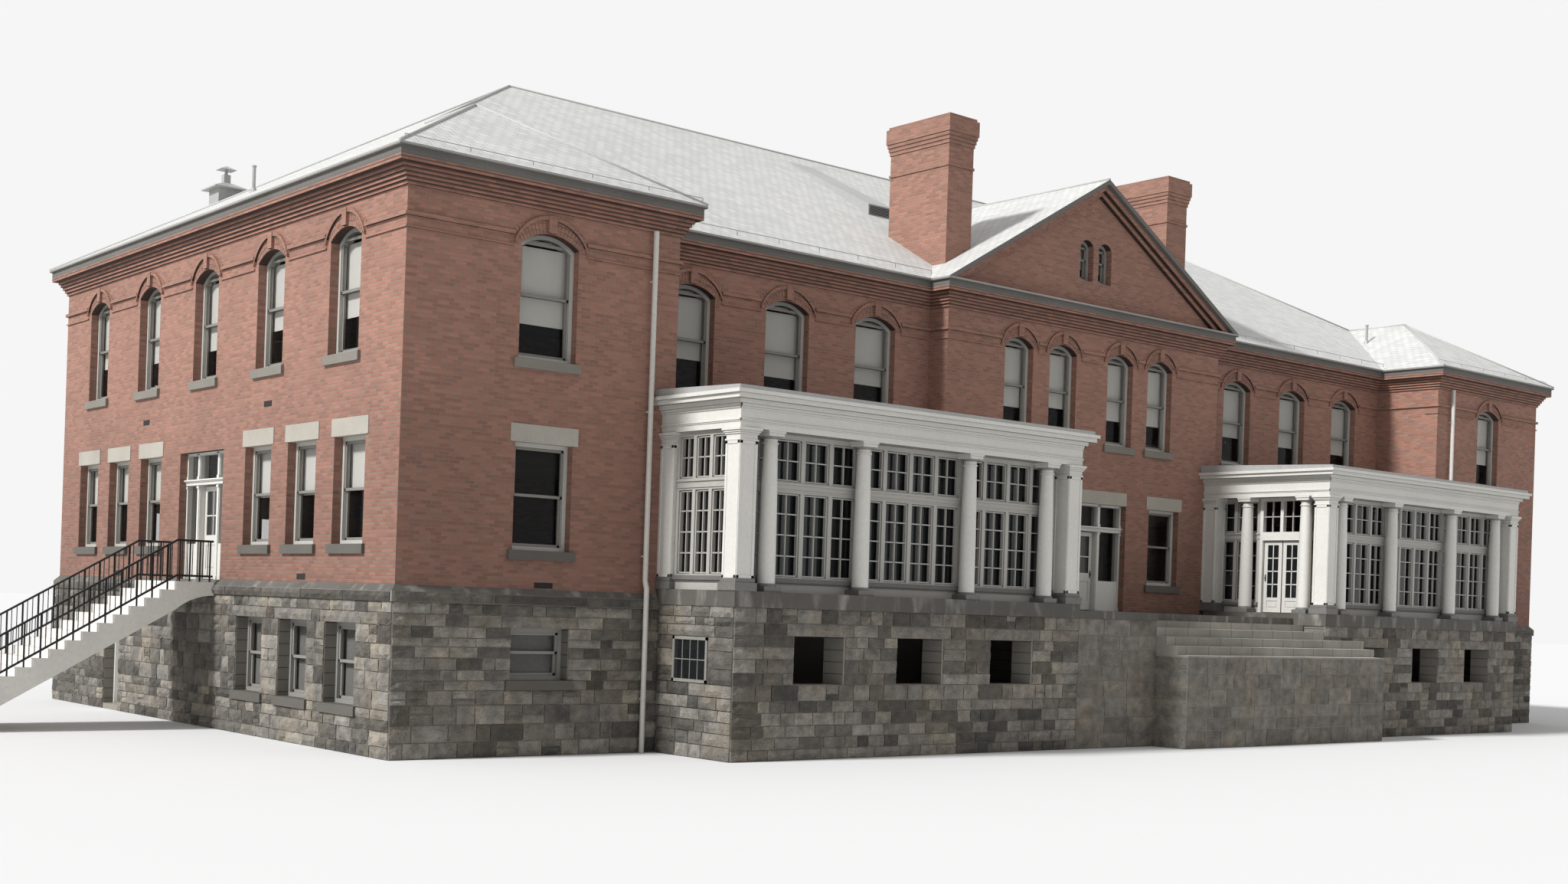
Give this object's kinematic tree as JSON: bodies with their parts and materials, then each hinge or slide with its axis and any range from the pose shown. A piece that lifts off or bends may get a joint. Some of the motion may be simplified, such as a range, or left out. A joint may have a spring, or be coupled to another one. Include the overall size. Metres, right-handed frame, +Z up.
{
  "type": "half-size model of a school building",
  "caption": "Brick school on a rough stone basement, with hipped roof, gabled middle, columned glazed porches and outside stairs; doors swing open.",
  "frame": {"origin": "under the middle of the whole outline, on the level the building stands on", "axes": "+X right along the front, +Y from the front into the building, +Z up"},
  "size_m": [25.716, 10.62, 7.6719],
  "materials": {
    "brick": "matte",
    "rough_stone": "matte",
    "dressed_stone": "matte",
    "white_timber": "painted satin",
    "sash_timber": "painted satin",
    "door_timber": "painted satin",
    "glass": "gloss",
    "slate": "matte",
    "painted_metal": "matte",
    "dark_iron": "matte",
    "floor_boards": "satin",
    "concrete": "matte"
  },
  "bodies": {
    "building": {"back_cornice": "brick", "back_wall": "brick", "back_window_frames": "sash_timber", "basement_floor": "concrete", "cellar_door_surrounds": "rough_stone", "chimneys": "brick", "court_steps": "concrete", "downspouts": "painted_metal", "front_stone_trim": "dressed_stone", "front_window_frames": "sash_timber", "front_window_glass": "glass", "gable_cornice": "brick", "ground_floor": "floor_boards", "left_porch_doors": "door_timber", "main_door_frame": "sash_timber", "main_front_cornice": "brick", "main_roof": "slate", "pavilion_gable": "brick", "pavilion_roof": "slate", "pavilion_wall_upper": "brick", "pavilion_walls_beside_door": "brick", "porch_base_ends": "rough_stone", "porch_base_fronts": "rough_stone", "porch_columns": "white_timber", "porch_door_frames": "sash_timber", "porch_entablatures": "white_timber", "porch_floors": "floor_boards", "porch_glass": "glass", "porch_roofs": "painted_metal", "porch_screens": "white_timber", "recess_walls": "brick", "return_walls": "brick", "right_side_doors": "door_timber", "roof_ventilators": "painted_metal", "side_and_back_glass": "glass", "side_and_back_stone_trim": "dressed_stone", "side_cornices": "brick", "side_door_frames": "sash_timber", "side_stair_railings": "dark_iron", "side_stairs": "concrete", "side_walls_front_part": "brick", "side_walls_over_doors": "brick", "side_walls_rear_part": "brick", "side_window_frames": "sash_timber", "stone_base_back": "rough_stone", "stone_base_pavilion": "rough_stone", "stone_base_recesses": "rough_stone", "stone_base_sides_front": "rough_stone", "stone_base_sides_rear": "rough_stone", "stone_base_wings": "rough_stone", "terrace": "rough_stone", "upper_floor": "floor_boards", "wing_cornices": "brick", "wing_front_walls": "brick"},
    "side_door": {"side_door": "door_timber"},
    "cellar_door": {"cellar_door": "door_timber"},
    "main_door": {"main_door": "door_timber"},
    "porch_front_leaf": {"porch_door_front_leaf": "door_timber"},
    "porch_rear_leaf": {"porch_door_rear_leaf": "door_timber"}
  },
  "joints": [
    {"name": "side_door_swing", "type": "hinge", "parent": "building", "child": "side_door", "pos_m": [-9.78, 0.97, 2.03], "axis": [0, 0, 1], "range_deg": [0, 95]},
    {"name": "cellar_door_swing", "type": "hinge", "parent": "building", "child": "cellar_door", "pos_m": [-9.785, 3.326, 0.62], "axis": [0, 0, 1], "range_deg": [0, 95]},
    {"name": "main_door_swing", "type": "hinge", "parent": "building", "child": "main_door", "pos_m": [-0.28, -2.755, 2.03], "axis": [0, 0, 1], "range_deg": [0, 95]},
    {"name": "porch_front_leaf_swing", "type": "hinge", "parent": "building", "child": "porch_front_leaf", "pos_m": [2.652, -4.307, 2.05], "axis": [0, 0, -1], "range_deg": [0, 95]},
    {"name": "porch_rear_leaf_swing", "type": "hinge", "parent": "building", "child": "porch_rear_leaf", "pos_m": [2.652, -3.753, 2.05], "axis": [0, 0, 1], "range_deg": [0, 95]}
  ]
}
